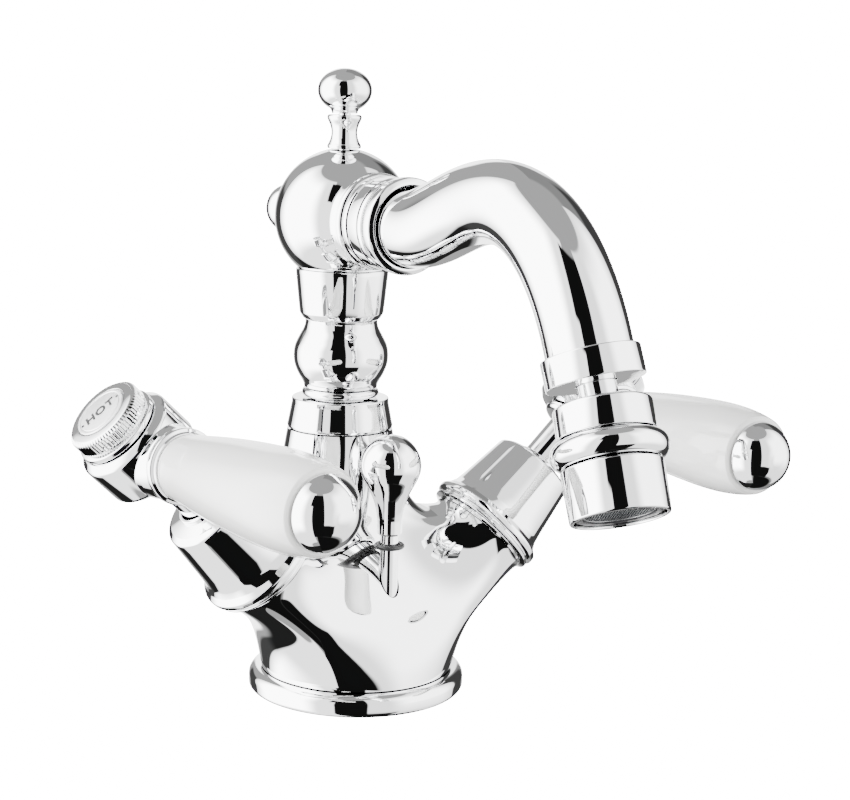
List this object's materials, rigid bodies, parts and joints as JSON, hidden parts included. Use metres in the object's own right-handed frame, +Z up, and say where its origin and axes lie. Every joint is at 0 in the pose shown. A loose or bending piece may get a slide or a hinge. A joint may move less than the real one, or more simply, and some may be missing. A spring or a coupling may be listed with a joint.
{
  "type": "bathroom mixer faucet",
  "caption": "Deck-mounted basin mixer with porcelain lever handles, turned swivel column, S-curved spout, swivelling aerator and pop-up lift rod.",
  "frame": {"origin": "on the deck under the centre of the body's round foot", "axes": "+Z up along the swivel column, spout towards -Y, hot handle at -X and cold handle at +X"},
  "size_m": [0.1762, 0.1717, 0.1705],
  "materials": {
    "base_flange": "polished",
    "base_seal": "moulded",
    "mixer_body": "polished",
    "swivel_bush": "moulded",
    "rod_guide": "moulded",
    "hot_seat_seal": "moulded",
    "hot_fixed_disc": "ground",
    "hot_cartridge": "machined",
    "hot_bell": "polished",
    "cold_seat_seal": "moulded",
    "cold_fixed_disc": "ground",
    "cold_cartridge": "machined",
    "cold_bell": "polished",
    "swivel_cup": "polished",
    "column_ring": "polished",
    "column_bulb": "polished",
    "upper_cup": "polished",
    "column_tube": "machined",
    "column_oring_lower": "moulded",
    "column_oring_upper": "moulded",
    "ball_head": "polished",
    "finial_sleeve": "polished",
    "finial_knob": "polished",
    "rear_knob": "polished",
    "spout_ring": "polished",
    "spout_sleeve": "polished",
    "spout_bead": "polished",
    "spout_tube": "polished",
    "end_collar": "polished",
    "ball_stem": "polished",
    "seat_liner": "moulded",
    "aerator_housing": "polished",
    "aerator_bead": "polished",
    "aerator_sleeve": "polished",
    "aerator_washer": "moulded",
    "aerator_insert": "moulded",
    "aerator_screen": "plain",
    "hot_moving_disc": "ground",
    "hot_spindle": "polished",
    "hot_washer": "polished",
    "hot_hub": "polished",
    "hot_handle_screw": "plain",
    "hot_index_cap": "polished",
    "hot_index_disc": "polished",
    "hot_lever_core": "polished",
    "hot_porcelain": "gloss",
    "hot_lever_tip": "polished",
    "cold_moving_disc": "ground",
    "cold_spindle": "polished",
    "cold_washer": "polished",
    "cold_hub": "polished",
    "cold_handle_screw": "plain",
    "cold_index_cap": "polished",
    "cold_index_disc": "polished",
    "cold_lever_core": "polished",
    "cold_porcelain": "gloss",
    "cold_lever_tip": "polished",
    "lift_rod": "polished",
    "lift_knob": "polished",
    "lift_oring": "moulded"
  },
  "bodies": {
    "base": {"base_flange": "base_flange", "base_seal": "base_seal", "mixer_body": "mixer_body", "swivel_bush": "swivel_bush", "rod_guide": "rod_guide", "hot_seat_seal": "hot_seat_seal", "hot_fixed_disc": "hot_fixed_disc", "hot_cartridge": "hot_cartridge", "hot_bell": "hot_bell", "cold_seat_seal": "cold_seat_seal", "cold_fixed_disc": "cold_fixed_disc", "cold_cartridge": "cold_cartridge", "cold_bell": "cold_bell"},
    "spout": {"swivel_cup": "swivel_cup", "column_ring": "column_ring", "column_bulb": "column_bulb", "upper_cup": "upper_cup", "column_tube": "column_tube", "column_oring_lower": "column_oring_lower", "column_oring_upper": "column_oring_upper", "ball_head": "ball_head", "finial_sleeve": "finial_sleeve", "finial_knob": "finial_knob", "rear_knob": "rear_knob", "spout_ring": "spout_ring", "spout_sleeve": "spout_sleeve", "spout_bead": "spout_bead", "spout_tube": "spout_tube", "end_collar": "end_collar", "ball_stem": "ball_stem"},
    "outlet_seat": {"seat_liner": "seat_liner"},
    "aerator": {"aerator_housing": "aerator_housing", "aerator_bead": "aerator_bead", "aerator_sleeve": "aerator_sleeve", "aerator_washer": "aerator_washer", "aerator_insert": "aerator_insert", "aerator_screen": "aerator_screen"},
    "hot_handle": {"hot_moving_disc": "hot_moving_disc", "hot_spindle": "hot_spindle", "hot_washer": "hot_washer", "hot_hub": "hot_hub", "hot_handle_screw": "hot_handle_screw", "hot_index_cap": "hot_index_cap", "hot_index_disc": "hot_index_disc", "hot_lever_core": "hot_lever_core", "hot_porcelain": "hot_porcelain", "hot_lever_tip": "hot_lever_tip"},
    "cold_handle": {"cold_moving_disc": "cold_moving_disc", "cold_spindle": "cold_spindle", "cold_washer": "cold_washer", "cold_hub": "cold_hub", "cold_handle_screw": "cold_handle_screw", "cold_index_cap": "cold_index_cap", "cold_index_disc": "cold_index_disc", "cold_lever_core": "cold_lever_core", "cold_porcelain": "cold_porcelain", "cold_lever_tip": "cold_lever_tip"},
    "lift": {"lift_rod": "lift_rod", "lift_knob": "lift_knob", "lift_oring": "lift_oring"}
  },
  "joints": [
    {"name": "spout_swivel", "type": "hinge", "parent": "base", "child": "spout", "pos_m": [0, 0.0107, 0.0716], "axis": [0, 0, 1], "range_deg": [-18, 18]},
    {"name": "outlet_tilt", "type": "hinge", "parent": "spout", "child": "outlet_seat", "pos_m": [0, -0.10528, 0.09268], "axis": [1, 0, 0], "range_deg": [-5, 10]},
    {"name": "outlet_sway", "type": "hinge", "parent": "outlet_seat", "child": "aerator", "pos_m": [0, -0.10528, 0.09268], "axis": [0, 0.8988, -0.4384], "range_deg": [-14, 1.9]},
    {"name": "hot_turn", "type": "hinge", "parent": "base", "child": "hot_handle", "pos_m": [0, -0.0072, 0.0086], "axis": [0.7242, 0.0349, -0.6887], "range_deg": [0, 90]},
    {"name": "cold_turn", "type": "hinge", "parent": "base", "child": "cold_handle", "pos_m": [0, -0.0072, 0.0086], "axis": [0.7242, -0.0349, 0.6887], "range_deg": [0, 90]},
    {"name": "lift_pull", "type": "slide", "parent": "base", "child": "lift", "axis": [0, 0, 1], "range_m": [0, 0.022]}
  ]
}
